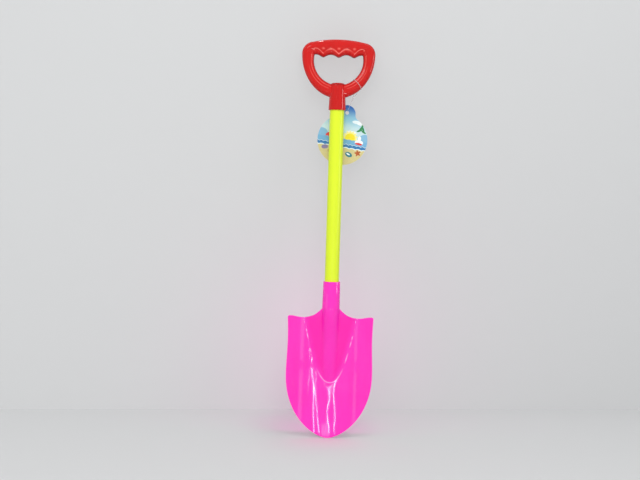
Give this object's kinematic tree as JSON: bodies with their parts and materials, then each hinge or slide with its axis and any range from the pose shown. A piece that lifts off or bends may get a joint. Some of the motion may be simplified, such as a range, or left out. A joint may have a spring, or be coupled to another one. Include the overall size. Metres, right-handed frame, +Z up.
{
  "type": "sand shovel",
  "caption": "Child's sand shovel with a dished pointed plastic blade, a straight tube shaft, a D-grip with finger grooves, and a round card tag on a nylon loop.",
  "frame": {"origin": "the point of the blade, on the axis of the shaft", "axes": "+Z up the shaft from the blade's point to the grip; the hollow side of the blade faces -Y; +X to the right of a viewer who looks along +Y; the grip's bar lies along X"},
  "size_m": [0.1544, 0.0336, 0.7106],
  "materials": {
    "blade_plastic": "glossy magenta moulded polypropylene",
    "tube_plastic": "satin neon yellow extruded plastic",
    "handle_plastic": "glossy red moulded polypropylene",
    "tag_card": "printed coated card",
    "loop_nylon": "clear nylon"
  },
  "bodies": {
    "shovel": {"blade": "blade_plastic", "shaft_tube": "tube_plastic", "handle": "handle_plastic"},
    "tag_loop": {"tag_loop": "loop_nylon"},
    "hang_tag": {"hang_tag": "tag_card"}
  },
  "joints": [
    {"name": "loop_swing", "type": "hinge", "parent": "shovel", "child": "tag_loop", "pos_m": [0.03465, 0, 0.63231], "axis": [0.766, 0, 0.6428], "range_deg": [0, 50]},
    {"name": "tag_swing", "type": "hinge", "parent": "tag_loop", "child": "hang_tag", "pos_m": [0.01917, 0.01625, 0.58523], "axis": [0, 1, 0], "range_deg": [-45, 45]}
  ]
}
